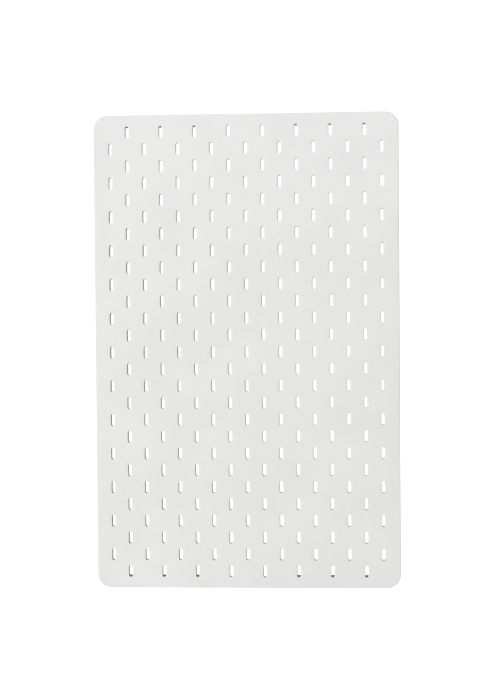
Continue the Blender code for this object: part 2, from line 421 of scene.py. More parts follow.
def fused(name: str, body: Draft, adds: Sequence[Draft] = (), cuts: Sequence[Draft] = ()) -> Mesh:
    """One closed mesh from a body, what is joined to it and what is cut from it.

    Args:
        name: The mesh's name.
        body: The main solid.
        adds: Solids joined to it.
        cuts: Solids cut away afterwards.

    Returns:
        The finished mesh.
    """
    scene = bpy.context.scene.collection
    base = bpy.data.objects.new(name, body.mesh(name))
    scene.objects.link(base)
    tools = []
    for operation, drafts in (("UNION", adds), ("DIFFERENCE", cuts)):
        for index, draft in enumerate(drafts):
            tool = bpy.data.objects.new(f"{name}_{operation}_{index}", draft.mesh("tool"))
            scene.objects.link(tool)
            modifier = base.modifiers.new(tool.name, "BOOLEAN")
            modifier.operation = operation
            modifier.solver = "EXACT"
            modifier.object = tool
            tools.append(tool)
    graph = bpy.context.evaluated_depsgraph_get()
    mesh = bpy.data.meshes.new_from_object(base.evaluated_get(graph), depsgraph=graph)
    mesh.name = name
    for obj in [base, *tools]:
        bpy.data.objects.remove(obj, do_unlink=True)
    bm = bmesh.new()
    bm.from_mesh(mesh)
    bmesh.ops.remove_doubles(bm, verts=bm.verts, dist=2 * WELD)
    bmesh.ops.dissolve_degenerate(bm, edges=bm.edges, dist=WELD)
    bm.to_mesh(mesh)
    bm.free()
    return mesh


# ---------------------------------------------------------------------------------------------
# Shader building
# ---------------------------------------------------------------------------------------------


class Tree:
    """A node tree under construction, with short ways to add nodes and link them."""

    def __init__(self, tree: bpy.types.NodeTree) -> None:
        """Takes the tree that new nodes go into."""
        self.tree = tree

    def put(self, socket: Socket, value: object) -> None:
        """Links a socket, or sets it when the value is a plain number or colour.

        Args:
            socket: The input.
            value: What it gets.
        """
        if isinstance(value, bpy.types.NodeSocket):
            self.tree.links.new(value, socket)
        else:
            socket.default_value = value

    def node(self, kind: str, settings: dict[str, object] | None = None, **sockets: object) -> Node:
        """Adds a node.

        Args:
            kind: The node's type.
            settings: Properties of the node itself.
            sockets: Input values or links, by socket name with _ for a space.

        Returns:
            The new node.
        """
        made = self.tree.nodes.new(kind)
        for key, value in (settings or {}).items():
            setattr(made, key, value)
        for key, value in sockets.items():
            self.put(made.inputs[key.replace("_", " ")], value)
        return made

    def math(self, operation: str, *values: object, clamp: bool = False) -> Socket:
        """Adds a Math node.

        Args:
            operation: What it does.
            values: Its inputs in order.
            clamp: Whether the result is held between 0 and 1.

        Returns:
            The result.
        """
        made = self.node("ShaderNodeMath", {"operation": operation, "use_clamp": clamp})
        for socket, value in zip(made.inputs, values):
            self.put(socket, value)
        return made.outputs[0]

    def times(self, first: object, second: object, clamp: bool = False) -> Socket:
        """The product of two values."""
        return self.math("MULTIPLY", first, second, clamp=clamp)

    def plus(self, first: object, second: object, clamp: bool = False) -> Socket:
        """The sum of two values."""
        return self.math("ADD", first, second, clamp=clamp)

    def mix(self, share: object, first: object, second: object) -> Socket:
        """Adds a colour mix.

        Args:
            share: How much of the second colour there is, from 0 to 1.
            first: A colour.
            second: Another colour.

        Returns:
            The mixed colour.
        """
        made = self.node("ShaderNodeMix", {"data_type": "RGBA"})
        for index, value in ((0, share), (6, first), (7, second)):
            self.put(made.inputs[index], value)
        return made.outputs[2]

    def noise(
        self, scale: object, detail: float = 3.0, roughness: float = 0.55, vector: object = None
    ) -> Socket:
        """Adds a noise.

        Args:
            scale: Waves in a metre.
            detail: Number of octaves.
            roughness: Strength of each octave over the one before.
            vector: Where it is read; Object coordinates when left out.

        Returns:
            The noise's value, between 0 and 1.
        """
        made = self.node("ShaderNodeTexNoise", Scale=scale, Detail=detail, Roughness=roughness)
        self.put(made.inputs["Vector"], vector if vector is not None else self.place())
        return made.outputs["Fac"]

    def place(self) -> Socket:
        """Object coordinates, in metres."""
        return self.node("ShaderNodeTexCoord").outputs["Object"]

    def parts(self, vector: Socket) -> bpy.types.NodeOutputs:
        """A vector's X, Y and Z."""
        return self.node("ShaderNodeSeparateXYZ", Vector=vector).outputs

    def band(
        self, value: object, low: float, high: float, to_low: float = 0.0, to_high: float = 1.0
    ) -> Socket:
        """Spreads a value smoothly from one range to another, held at its ends.

        Args:
            value: The value.
            low: Start of its range.
            high: End of its range.
            to_low: Result at and below the start.
            to_high: Result at and above the end.

        Returns:
            The result.
        """
        made = self.node("ShaderNodeMapRange", {"interpolation_type": "SMOOTHSTEP"})
        for socket, number in zip(made.inputs, (value, low, high, to_low, to_high)):
            self.put(socket, number)
        return made.outputs[0]

    def mark(self, name: str) -> Socket:
        """A point attribute's value."""
        return self.node("ShaderNodeAttribute", {"attribute_name": name}).outputs["Fac"]

    def group(self, tree: bpy.types.NodeTree, **sockets: object) -> bpy.types.NodeOutputs:
        """Places a shared group with its own values, and gives its outputs."""
        return self.node("ShaderNodeGroup", {"node_tree": tree}, **sockets).outputs


def new_group(
    name: str, inputs: dict[str, float], outputs: Sequence[str]
) -> tuple[Tree, bpy.types.NodeOutputs, bpy.types.NodeInputs]:
    """A shader group with named number sockets.

    Args:
        name: The group's name.
        inputs: Input names with their usual values.
        outputs: Output names.

    Returns:
        The group's tree, the sockets that bring its inputs and those that take its outputs.
    """
    group = bpy.data.node_groups.new(name, "ShaderNodeTree")
    for key, value in inputs.items():
        socket = group.interface.new_socket(key, in_out="INPUT", socket_type="NodeSocketFloat")
        socket.default_value = value
    for key in outputs:
        group.interface.new_socket(key, in_out="OUTPUT", socket_type="NodeSocketFloat")
    source = group.nodes.new("NodeGroupInput")
    sink = group.nodes.new("NodeGroupOutput")
    return Tree(group), source.outputs, sink.inputs


class Groups:
    """The shader groups that several finishes share, each built once."""

    def __init__(self) -> None:
        """Builds every group."""
        self.edge_rub = self._edge_rub()
        self.grain = self._grain()
        self.fibre = self._fibre()
        self.dust = self._dust()

    def _edge_rub(self) -> bpy.types.NodeTree:
        """Where a rounded edge is rubbed: the rub mark broken up by two sizes of noise.

        Returns:
            The group.
        """
        finer, coarse_share, fine_share, pull = 5.0, 0.7, 0.3, 0.35
        tree, given, result = new_group("edge_rub", {"Scale": 900.0, "Amount": 0.5}, ["Mask"])
        coarse = tree.noise(given["Scale"])
        fine = tree.noise(tree.times(given["Scale"], finer), 2.0)
        broken = tree.plus(tree.times(coarse, coarse_share), tree.times(fine, fine_share))
        worn = tree.band(tree.plus(broken, tree.times(tree.mark("rub"), pull)), 0.62, 0.85)
        both = tree.times(worn, tree.mark("rub"))
        tree.put(result["Mask"], tree.times(both, given["Amount"], clamp=True))
        return tree.tree

    def _grain(self) -> bpy.types.NodeTree:
        """Fine grain for paint and mouldings, with a broader waviness of tone.

        Returns:
            The group.
        """
        sizes = {"Scale": 1500.0, "Wave": 60.0}
        tree, given, result = new_group("surface_grain", sizes, ["Height", "Tone"])
        tree.put(result["Height"], tree.noise(given["Scale"], 1.0))
        tree.put(result["Tone"], tree.noise(given["Wave"], 1.0))
        return tree.tree

    def _fibre(self) -> bpy.types.NodeTree:
        """Pressed fibres: long noise in two directions, multiplied into flecks.

        Returns:
            The group.
        """
        sizes = {"Scale": 400.0, "Length": 6.0}
        tree, given, result = new_group("fibre_flecks", sizes, ["Flecks", "Height"])
        lays = []
        for turn in (0.4, -0.7):
            lay = tree.node("ShaderNodeMapping", {"vector_type": "TEXTURE"}, Vector=tree.place())
            lay.inputs["Rotation"].default_value = (0.3, turn, 0.2)
            stretch = tree.node("ShaderNodeCombineXYZ", X=given["Length"], Y=1.0, Z=1.0)
            tree.put(lay.inputs["Scale"], stretch.outputs[0])
            lays.append(tree.noise(given["Scale"], 4.0, 0.65, lay.outputs[0]))
        tree.put(result["Flecks"], tree.band(tree.times(*lays), 0.15, 0.38))
        tree.put(result["Height"], tree.plus(*lays))
        return tree.tree

    def _dust(self) -> bpy.types.NodeTree:
        """Dust on what faces up: the normal's Z, broken by noise.

        Returns:
            The group.
        """
        tree, given, result = new_group("settled_dust", {"Amount": 0.3, "Scale": 150.0}, ["Mask"])
        normal = tree.node("ShaderNodeNewGeometry").outputs["Normal"]
        facing = tree.band(tree.parts(normal)["Z"], 0.3, 0.95)
        patch = tree.band(tree.noise(given["Scale"], 4.0), 0.35, 0.7)
        mask = tree.times(facing, patch)
        tree.put(result["Mask"], tree.times(mask, given["Amount"], clamp=True))
        return tree.tree


class Dressing(Tree):
    """A material's node tree, with its Principled shader and the shared groups."""

    def __init__(self, material: bpy.types.Material, groups: Groups | None) -> None:
        """Takes what is dressed and what it is dressed with.

        Args:
            material: The material that is dressed.
            groups: The shared shader groups, where it uses any.
        """
        super().__init__(material.node_tree)
        self.shader = material.node_tree.nodes["Principled BSDF"]
        self.groups = groups

    def feed(self, name: str, value: object) -> None:
        """Links or sets one of the shader's own sockets."""
        self.put(self.shader.inputs[name], value)

    def bump(self, height: object, depth: float, strength: float) -> None:
        """Feeds a height through a Bump node into the shader's normal."""
        made = self.node("ShaderNodeBump", Strength=strength, Distance=depth, Height=height)
        self.feed("Normal", made.outputs[0])


@dataclass(frozen=True)
class Finish:
    """What every finish has: a name, a base colour and a roughness."""

    name: str
    colour: Colour
    roughness: float

    def build(self, groups: Groups | None = None) -> bpy.types.Material:
        """Builds the material.

        Args:
            groups: The shared shader groups.

        Returns:
            The material.
        """
        made = bpy.data.materials.new(self.name)
        made.use_nodes = True
        work = Dressing(made, groups)
        work.feed("Base Color", (*self.colour, 1))
        work.feed("Roughness", self.roughness)
        self.dress(work)
        return made

    def dress(self, work: Dressing) -> None:
        """Adds the finish's own nodes, which each kind of finish does in its way."""
        raise NotImplementedError

    def shade(self, factor: float) -> tuple[float, float, float, float]:
        """The finish's colour multiplied by a factor, with alpha."""
        return (*(min(1.0, c * factor) for c in self.colour), 1.0)


@dataclass(frozen=True)
class BoardPaint(Finish):
    """Rolled white paint over pressed fibreboard, with the brown fibre showing in the slots.

    Painted light: the slots' walls show less bare core and more paint from one height up to a
    higher one, so they are lighter towards the top as if more light fell there. The back has a
    thinner coat, through which some fibre shows.
    """

    core: Colour = (0.17, 0.135, 0.105)
    core_light: Colour = (0.32, 0.27, 0.23)
    painted_light_from: float = 0.12
    painted_light_to: float = 0.22
    misted_bare: float = 0.2
    back_face: float = -15 * MM
    back_blend: float = 0.2 * MM
    back_show: float = 0.28
    back_flecks: float = -0.2
    rubbed: float = 0.8
    bare_rough: float = 0.4
    relief: float = 0.04 * MM

    def dress(self, work: Dressing) -> None:
        """Paint, its rubbed edges, the bare core in the slots with painted light towards the top, and
        the thin coat at the back.

        Args:
            work: The material that is dressed.
        """
        grain = work.group(work.groups.grain, Scale=1400.0, Wave=14.0)
        rub = work.group(work.groups.edge_rub, Scale=500.0, Amount=0.18)
        fibre = work.group(work.groups.fibre, Scale=700.0, Length=4.0)
        place = work.parts(work.place())
        tone = work.band(grain["Tone"], 0.3, 0.7)
        paint = work.mix(tone, self.shade(0.985), self.shade(1.01))
        paint = work.mix(rub["Mask"], paint, self.shade(self.rubbed))
        raw = work.mix(fibre["Flecks"], (*self.core, 1), (*self.core_light, 1))
        # painted light: less bare core on the slots' walls towards the top, so they are lighter there
        painted_light_factor = work.band(place["Z"], self.painted_light_from, self.painted_light_to, 1.0, self.misted_bare)
        bare = work.times(work.band(work.mark("core"), 0.1, 0.8), painted_light_factor)
        behind = work.band(place["Y"], self.back_face - self.back_blend, self.back_face)
        show = work.math("MULTIPLY_ADD", fibre["Flecks"], self.back_flecks, self.back_show)
        paint = work.mix(work.times(behind, show), paint, (*self.core_light, 1))
        work.feed("Base Color", work.mix(bare, paint, raw))
        rough = work.plus(work.times(tone, 0.05), self.roughness)
        work.feed("Roughness", work.plus(rough, work.times(bare, self.bare_rough), clamp=True))
        height = work.plus(grain["Height"], work.times(fibre["Height"], bare))
        work.bump(height, self.relief, 0.35)


@dataclass(frozen=True)
class Moulding(Finish):
    """Moulded plastic with spark-eroded grain, paler rubbed edges and a little dust."""

    grain_scale: float = 2200.0
    rub_amount: float = 0.6
    dust_colour: Colour = (0.55, 0.54, 0.52)
    rubbed: float = 1.8
    relief: float = 0.06 * MM

    def dress(self, work: Dressing) -> None:
        """Plastic of an uneven tone, smoother where it is rubbed and matt where dust lies.

        Args:
            work: The material that is dressed.
        """
        grain = work.group(work.groups.grain, Scale=self.grain_scale, Wave=90.0)
        rub = work.group(work.groups.edge_rub, Scale=700.0, Amount=self.rub_amount)
        dust = work.group(work.groups.dust, Amount=0.25, Scale=260.0)
        tone = work.band(grain["Tone"], 0.3, 0.7)
        base = work.mix(tone, self.shade(0.9), self.shade(1.1))
        base = work.mix(rub["Mask"], base, self.shade(self.rubbed))
        work.feed("Base Color", work.mix(dust["Mask"], base, (*self.dust_colour, 1)))
        rough = work.math("SUBTRACT", self.roughness, work.times(rub["Mask"], 0.15))
        rough = work.plus(rough, work.times(tone, 0.06))
        work.feed("Roughness", work.plus(rough, dust["Mask"], clamp=True))
        work.bump(grain["Height"], self.relief, 0.5)


@dataclass(frozen=True)
class ZincSteel(Finish):
    """Bright zinc plating with cloudy patches and fine turning marks."""

    rubbed: float = 1.4
    cloud_rough: float = 0.18
    relief: float = 0.02 * MM

    def dress(self, work: Dressing) -> None:
        """Metal whose clouds are rougher, with brighter rubbed edges.

        Args:
            work: The material that is dressed.
        """
        work.feed("Metallic", 1.0)
        grain = work.group(work.groups.grain, Scale=3000.0, Wave=500.0)
        rub = work.group(work.groups.edge_rub, Scale=1200.0, Amount=0.5)
        cloud = work.band(grain["Tone"], 0.35, 0.65)
        base = work.mix(cloud, self.shade(0.8), self.shade(1.15))
        work.feed("Base Color", work.mix(rub["Mask"], base, self.shade(self.rubbed)))
        work.feed("Roughness", work.plus(work.times(cloud, self.cloud_rough), self.roughness))
        work.bump(grain["Height"], self.relief, 0.4)


@dataclass(frozen=True)
class Felt(Finish):
    """Dense pressed felt with a matted fibre surface."""

    sheen: float = 0.4
    sheen_rough: float = 0.5
    relief: float = 0.2 * MM

    def dress(self, work: Dressing) -> None:
        """Fibres in a darker and a paler tone, with a soft sheen.

        Args:
            work: The material that is dressed.
        """
        work.feed("Sheen Weight", self.sheen)
        work.feed("Sheen Roughness", self.sheen_rough)
        fibre = work.group(work.groups.fibre, Scale=4200.0, Length=9.0)
        work.feed("Base Color", work.mix(fibre["Flecks"], self.shade(0.8), self.shade(2.2)))
        work.bump(fibre["Height"], self.relief, 0.8)


@dataclass(frozen=True)
class StageWhite(Finish):
    """The pale floor. It looks fully white and lights the panel softly from below."""

    glow: float = 0.12
    white: float = 1.0

    def dress(self, work: Dressing) -> None:
        """A faint unevenness, and a glow that is full white only where it is seen.

        Args:
            work: The material that is dressed.
        """
        tone = work.band(work.noise(3.0, 2.0), 0.3, 0.7)
        work.feed("Base Color", work.mix(tone, self.shade(0.99), self.shade(1.0)))
        work.feed("Emission Color", (1, 1, 1, 1))
        seen = work.node("ShaderNodeLightPath").outputs["Is Camera Ray"]
        glow = work.math("MULTIPLY_ADD", seen, self.white - self.glow, self.glow)
        work.feed("Emission Strength", glow)


FINISHES = (
    BoardPaint("board_paint", (0.80, 0.80, 0.797), 0.42),
    Moulding("bar_moulding", (0.20, 0.192, 0.182), 0.5),
    Moulding("cleat_moulding", (0.33, 0.34, 0.35), 0.48),
    ZincSteel("screw_steel", (0.60, 0.60, 0.62), 0.24),
    Moulding("plug_nylon", (0.62, 0.61, 0.57), 0.42, 1200.0, 0.1),
    Felt("pad_felt", (0.10, 0.10, 0.10), 0.95),
)


class Workshop:
    """The finishes, each under the name of its material slot, and the place where pieces are made."""

    def __init__(self) -> None:
        """Builds the shared groups and every finish."""
        groups = Groups()
        self.finishes = {finish.name: finish.build(groups) for finish in FINISHES}

    def register(self, mesh: Mesh, slot: str, body: str, node: str, sharp: float) -> None:
        """Turns a finished mesh into a piece that stands for a node of the frame.

        Args:
            mesh: The finished mesh.
            slot: The record's material slot, which is also the finish's name.
            body: The body that the piece rides on.
            node: The node that it replaces.
            sharp: Angle in degrees past which an edge is shaded sharp.
        """
        mesh.materials.clear()
        mesh.materials.append(self.finishes[slot])
        mesh.shade_smooth()
        mesh.set_sharp_from_angle(angle=math.radians(sharp))
        piece = bpy.data.objects.new(f"fine_{node}", mesh)
        bpy.context.scene.collection.objects.link(piece)
        even = piece.modifiers.new("even_shading", "WEIGHTED_NORMAL")
        even.keep_sharp = True
        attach(piece, body)
        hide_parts(node)
        LOG.info("%s: %d faces", piece.name, len(mesh.polygons))


# ---------------------------------------------------------------------------------------------
# The board
# ---------------------------------------------------------------------------------------------


@dataclass
class Board:
    """The slotted sheet.

    The sheet is a lattice of square cells with a slot in every other one, and a plain border. Each
    slot is a tube of rings: the cell's square, the front rim's rounding, the wall and the back rim.
    """

    pitch: float = 20 * MM
    half_columns: int = 8
    half_rows: int = 13
    slot_radius: float = 1.85 * MM
    slot_half_straight: float = 5.05 * MM
    corner_radius: float = 16.5 * MM
    front_edge: float = 0.65 * MM
    back_edge: float = 0.25 * MM
    back_rub: float = 0.5
    back_core: float = 0.3
    rim_steps: int = 3
    throat_core: float = 0.8
    side_parts: int = 4
    corner_steps: int = 14
    sharp: float = 50.0

    def __post_init__(self) -> None:
        """Reads the sheet's outer sizes and levels from the frame."""
        low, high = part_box("panel")
        self.half_width = high.x
        self.half_height = high.z
        self.front = low.y
        self.back = high.y

    @property
    def bend_centre(self) -> tuple[float, float]:
        """X and Z of the upper right corner's centre."""
        return self.half_width - self.corner_radius, self.half_height - self.corner_radius

    def centres(self, slotted: bool) -> Array:
        """Centres of the cells, column i and row j, which have a slot where i + j is even.

        Args:
            slotted: Whether the cells with a slot are wanted, or those without one.

        Returns:
            The centres on the plane Y = 0.
        """
        columns = np.arange(-self.half_columns, self.half_columns + 1)
        rows = np.arange(-self.half_rows, self.half_rows + 1)
        i, j = np.meshgrid(columns, rows)
        chosen = ((i + j) % 2 == 0) == slotted
        return raised(np.stack([i[chosen], j[chosen]], axis=1) * self.pitch, 0.0, Axis.Y)

    def cell_loop(self) -> Array:
        """A cell's square boundary in even steps.

        Returns:
            Its points, from the middle of its right side.
        """
        half = self.pitch / 2
        steps = np.linspace(-half, half, self.side_parts + 1)[:-1]
        right = np.stack([np.full_like(steps, half), steps], axis=1)
        top = np.stack([-steps, np.full_like(steps, half)], axis=1)
        loop = np.concatenate([right, top, -right, -top])
        return np.roll(loop, -self.side_parts // 2, axis=0)

    def slot_loop(self, grow: float) -> Array:
        """The slot's outline: two half circles and the middles of the straight sides between them.

        Args:
            grow: How far the outline is moved outwards.

        Returns:
            One point for each point of the cell's boundary.
        """
        radius = self.slot_radius + grow
        steps = 2 * self.side_parts - 2
        upper = arc((0, self.slot_half_straight), radius, 0, math.pi, steps)
        middle = np.array([[radius, 0.0]])
        return np.concatenate([middle, upper, -middle, -upper])

    def edge_loop(self, inset: float) -> Array:
        """The sheet's rounded outline.

        Args:
            inset: How far it is moved inwards.

        Returns:
            Its points, from the start of the upper right corner.
        """
        x, z = self.bend_centre
        loop = []
        for index, (sx, sz) in enumerate(QUADRANTS):
            start = index * QUARTER
            radius = self.corner_radius - inset
            loop.append(arc((sx * x, sz * z), radius, start, start + QUARTER, self.corner_steps))
            loop.append(self.straight(index, inset))
        return np.concatenate(loop)

    def straight(self, index: int, inset: float) -> Array:
        """Points on a straight side, in steps of a cell's side part.

        Args:
            index: The corner that the side follows.
            inset: How far the side is moved inwards.

        Returns:
            The side's points.
        """
        step = self.pitch / self.side_parts
        along_x = index % 2 == 0
        reach = (self.half_columns if along_x else self.half_rows) * self.pitch
        places = np.arange(round(-reach / step), round(reach / step) + 1) * step
        sign = 1 if index in (0, 3) else -1
        out = sign * ((self.half_height if along_x else self.half_width) - inset)
        if along_x:
            return np.stack([-sign * places, np.full_like(places, out)], axis=1)
        return np.stack([np.full_like(places, out), sign * places], axis=1)

    def front_rim(self) -> list[tuple[float, float, float, float]]:
        """The front rim as a quarter circle.

        Returns:
            Inset, level, rub mark and core mark of each of its rings.
        """
        angles, inset, depth = quarter_round(self.front_edge, self.rim_steps)
        core = angles / QUARTER * self.throat_core
        return list(zip(inset, self.front + depth, np.sin(2 * angles), core))

    def add_slots(self, draft: Draft) -> None:
        """Adds every slot's tube, from the front of its cell to the back.

        Args:
            draft: The board's mesh in the making.
        """
        rows = [(self.cell_loop(), self.front, 0, 0)]
        rows += [(self.slot_loop(inset), *marks) for inset, *marks in self.front_rim()]
        rows += [
            (self.slot_loop(0), self.back - self.back_edge, 0, 1),
            (self.slot_loop(self.back_edge), self.back, self.back_rub, self.back_core),
            (self.cell_loop(), self.back, 0, 0),
        ]
        rings = np.stack([raised(loop, level, Axis.Y) for loop, level, _, _ in rows])
        rub, core = np.array([row[2:] for row in rows], float).T[:, None, :, None]
        tiled = rings[None] + self.centres(True)[:, None, None, :]
        count, levels, around = tiled.shape[:3]
        start = draft.add_points(tiled, rub, core)
        shifts = np.arange(count)[:, None, None] * levels * around + start
        draft.faces += (ring_quads(levels, around) + shifts).reshape(-1, 4).tolist()

    def add_plain(self, draft: Draft, level: float, inset: float) -> None:
        """Adds the flat of one face: the cells without a slot, the border's strips and corners.

        Args:
            draft: The board's mesh in the making.
            level: The face's Y.
            inset: How far the flat ends before the sheet's edge.
        """
        cell = raised(self.cell_loop(), level, Axis.Y)
        draft.add_faces(cell[None] + self.centres(False)[:, None])
        inner_x = (self.half_columns + 0.5) * self.pitch
        inner_z = (self.half_rows + 0.5) * self.pitch
        for index in range(len(QUADRANTS)):
            outer = self.straight(index, inset)
            inner = np.clip(outer, (-inner_x, -inner_z), (inner_x, inner_z))
            strip = np.stack([outer[:-1], outer[1:], inner[1:], inner[:-1]], axis=1)
            draft.add_faces(raised(strip.reshape(-1, 2), level, Axis.Y).reshape(-1, 4, 3))
        step = self.pitch / self.side_parts
        half_parts = self.side_parts // 2
        radius = self.corner_radius - inset
        bend = arc(self.bend_centre, radius, 0, QUARTER, self.corner_steps)
        first = [[self.half_width - inset, self.half_rows * self.pitch]]
        last = [[self.half_columns * self.pitch, self.half_height - inset]]
        along = [[inner_x - k * step, inner_z] for k in range(half_parts, -1, -1)]
        fall = [[inner_x, inner_z - k * step] for k in range(1, half_parts + 1)]
        corner = np.concatenate([first, bend, last, along, fall])
        for signs in QUADRANTS:
            draft.add_faces(raised(corner * signs, level, Axis.Y)[None])

    def build(self, shop: Workshop) -> None:
        """Makes the board's mesh and registers it.

        Args:
            shop: Where pieces are made.
        """
        draft = Draft()
        self.add_slots(draft)
        self.add_plain(draft, self.front, self.front_edge)
        self.add_plain(draft, self.back, self.back_edge)
        rows = [(inset, level, rub) for inset, level, rub, _ in self.front_rim()]
        rows.append((0, self.back - self.back_edge, 0))
        rows.append((self.back_edge, self.back, self.back_rub))
        rings = np.stack([raised(self.edge_loop(inset), level, Axis.Y) for inset, level, _ in rows])
        draft.add_rings(rings, np.array([row[2] for row in rows])[:, None], caps=False)
        mesh = draft.mesh("fine_panel")
        shop.register(mesh, "board_paint", "hung_panel", "panel", self.sharp)


# ---------------------------------------------------------------------------------------------
# The fittings
# ---------------------------------------------------------------------------------------------


@dataclass
class Fitting:
    """What every fitting has: its half of the panel, its names in the frame, and how it is made.

    `stem` starts its node's name, `slot` is its material slot and `body` is what it rides on.
    """

    side: Side
    stem: str = ""
    slot: str = ""
    body: str = "wall_fixings"
    sharp: float = 35.0
    centre: float = 100 * MM

    @property
    def node(self) -> str:
        """The node that the fitting stands for."""
        return f"{self.stem}_{self.side.word}"

    @property
    def x(self) -> float:
        """X of the fitting's middle."""
        return self.side.sign * self.centre

    def pair(self, offset: float) -> tuple[float, float]:
        """X of the two places that lie `offset` either side of the middle."""
        return self.x - offset, self.x + offset

    def mesh(self) -> Mesh:
        """The fitting's finished mesh, which each kind of fitting works out."""
        raise NotImplementedError

    def build(self, shop: Workshop) -> None:
        """Makes the fitting's mesh and registers it."""
        shop.register(self.mesh(), self.slot, self.body, self.node, self.sharp)


@dataclass
class Bar(Fitting):
    """A moulded bar behind one corner: a ribbed rail with three prongs.

    `end` is 1 at the top and -1 at the bottom. `spans` are the pockets' reaches in millimetres from
    the bar's middle, and `root` is how far an added part reaches into the rail.
    """

    slot: str = "bar_moulding"
    body: str = "hung_panel"
    end: float = 1.0
    inner: float = 266 * MM
    inner_back: float = 268.5 * MM
    outer: float = 278 * MM
    rail_front: float = -14.7 * MM
    rail_back: float = -9.0 * MM
    rail_fillet: float = 0.7 * MM
    half_length: float = 50 * MM
    edge: float = 0.6 * MM
    root: float = 1 * MM
    prong_pitch: float = 40 * MM
    prong_radius: float = 1.75 * MM
    prong_flat: float = 265.9 * MM
    prong_tip: float = -18.5 * MM
    prong_edge: float = 0.3 * MM
    prong_steps: int = 12
    slot_end: float = 265 * MM
    wall: float = 1.6 * MM
    pocket_floor: float = -12.6 * MM
    pocket_fillet: float = 0.8 * MM
    pocket_edge: float = 0.3 * MM
    over: float = 2 * MM
    spans: tuple[tuple[float, float], ...] = ()

    def rail(self) -> Draft:
        """The rail: its section in Y and Z, rounded and carried along X.

        Returns:
            The closed solid.
        """
        corners = (
            (self.rail_front, self.end * self.inner),
            (self.rail_back, self.end * self.inner_back),
            (self.rail_back, self.end * self.outer),
            (self.rail_front, self.end * self.outer),
        )
        section = filleted(corners, self.rail_fillet, 3)
        return prism(section, *self.pair(self.half_length), self.edge, Axis.X)

    def prongs(self) -> list[Draft]:
        """The prongs: circles cut off level at `prong_flat`, with rounded noses.

        Returns:
            Three closed solids.
        """
        rise = math.asin((self.prong_flat - self.slot_end) / self.prong_radius)
        start = rise if self.end > 0 else math.pi + rise
        end = start + math.pi - 2 * rise
        made = []
        for step in (-1, 0, 1):
            spot = (self.x + step * self.prong_pitch, self.end * self.slot_end)
            outline = arc(spot, self.prong_radius, start, end, self.prong_steps)
            root = self.rail_front + self.root
            made.append(prism(outline, self.prong_tip, root, self.prong_edge, Axis.Y))
        return made

    def pockets(self) -> list[Draft]:
        """The pockets, open to the wall.

        Returns:
            One cutter for each span.
        """
        walls = (self.inner_back + self.wall, self.outer - self.wall)
        low, high = sorted(self.end * wall for wall in walls)
        made = []
        for left, right in self.spans:
            corners = (self.x + left * MM, low), (self.x + right * MM, high)
            outline = rectangle(*corners, self.pocket_fillet)
            open_end = self.rail_back + self.over
            made.append(prism(outline, self.pocket_floor, open_end, self.pocket_edge, Axis.Y))
        return made

    def back_parts(self) -> list[Draft]:
        """What stands at the rail's back, which each kind of bar works out."""
        raise NotImplementedError

    def mesh(self) -> Mesh:
        """The rail joined to its prongs and back parts, with the pockets cut from it."""
        return fused(self.node, self.rail(), [*self.prongs(), *self.back_parts()], self.pockets())


@dataclass
class HangerBar(Bar):
    """An upper bar: the rail, three prongs, and two hooks that point down behind the channel lips."""

    stem: str = "hanger_bar"
    spans: tuple[tuple[float, float], ...] = (
        (-23, -13), (-11.4, -0.8), (0.8, 11.4), (13, 23), (-48.2, -37), (37, 48.2),
    )
    hook_offset: float = 30 * MM
    hook_half: float = 5 * MM
    hook_front: float = -5.7 * MM
    hook_back: float = -2.8 * MM
    hook_foot: float = 259 * MM
    hook_lead: float = 0.9 * MM
    hook_fillet: float = 0.45 * MM
    hook_edge: float = 0.3 * MM
    web_low: float = 273.5 * MM
    web_top: float = 276.5 * MM

    def back_parts(self) -> list[Draft]:
        """Both hooks: an L-shaped section in Y and Z carried along X, with a tapered foot.

        Returns:
            Two closed solids.
        """
        root = self.rail_back - self.root
        front, back, foot, lead = self.hook_front, self.hook_back, self.hook_foot, self.hook_lead
        corners = (
            (root, self.web_low), (front, self.web_low), (front, foot + lead), (front + lead, foot),
            (back - lead, foot), (back, foot + lead), (back, self.web_top), (root, self.web_top),
        )
        section = filleted(corners, self.hook_fillet, 3)
        half = self.hook_half
        spots = self.pair(self.hook_offset)
        return [prism(section, x - half, x + half, self.hook_edge, Axis.X) for x in spots]


@dataclass
class SpacerBar(Bar):
    """A lower bar: the rail, three prongs, and two posts that stand the panel off the wall."""

    stem: str = "spacer_bar"
    end: float = -1.0
    prong_flat: float = 265.2 * MM
    spans: tuple[tuple[float, float], ...] = (
        (-48.2, -38), (-36.4, -27.6), (27.6, 36.4), (38, 48.2), (-12.4, -0.8), (0.8, 12.4),
    )
    post_offset: float = 20 * MM
    post_half: float = 6 * MM
    post_z: float = -273.25 * MM
    post_half_height: float = 4.25 * MM
    post_end: float = -1.9 * MM
    post_fillet: float = 1.2 * MM
    post_edge: float = 0.5 * MM

    def back_parts(self) -> list[Draft]:
        """Both posts, as rounded blocks that reach back from the rail.

        Returns:
            Two closed solids.
        """
        made = []
        for x in self.pair(self.post_offset):
            low = (x - self.post_half, self.post_z - self.post_half_height)
            high = (x + self.post_half, self.post_z + self.post_half_height)
            outline = rectangle(low, high, self.post_fillet)
            root = self.rail_back - self.root
            made.append(prism(outline, root, self.post_end, self.post_edge, Axis.Y))
        return made


